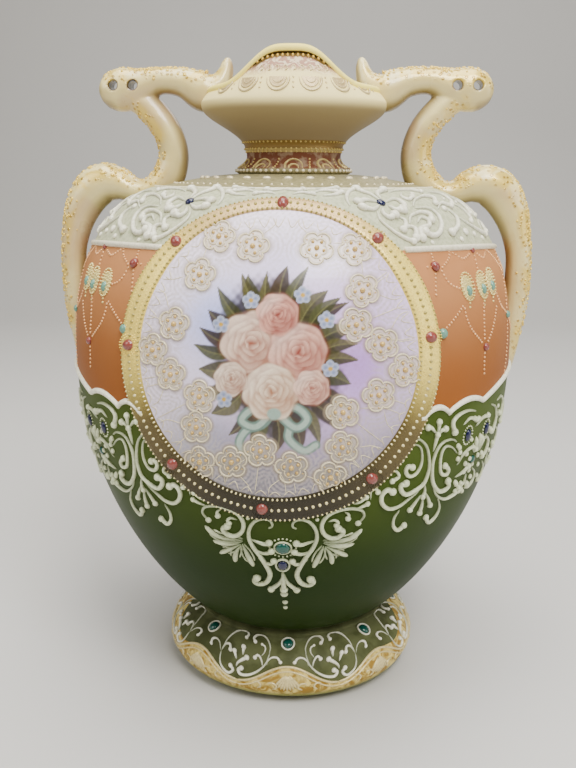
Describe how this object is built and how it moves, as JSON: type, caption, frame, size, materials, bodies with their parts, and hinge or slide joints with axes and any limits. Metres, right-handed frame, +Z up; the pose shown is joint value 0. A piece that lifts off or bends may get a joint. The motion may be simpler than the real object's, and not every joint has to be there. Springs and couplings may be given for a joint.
{
  "type": "two-handled vase",
  "caption": "Hollow porcelain display vase with scrolled side handles, a flared mouth with raised lips, a spreading foot and raised slip decoration.",
  "frame": {"origin": "centre of the foot's underside, on the surface that the vase stands on", "axes": "+Z up along the vase's axis, X through both handles, -Y towards the front medallion"},
  "size_m": [0.1988, 0.182, 0.26],
  "materials": {
    "porcelain": "hand-painted glazed porcelain with raised slip and gilding"
  },
  "bodies": {
    "root": {"vase": "porcelain"}
  },
  "joints": []
}
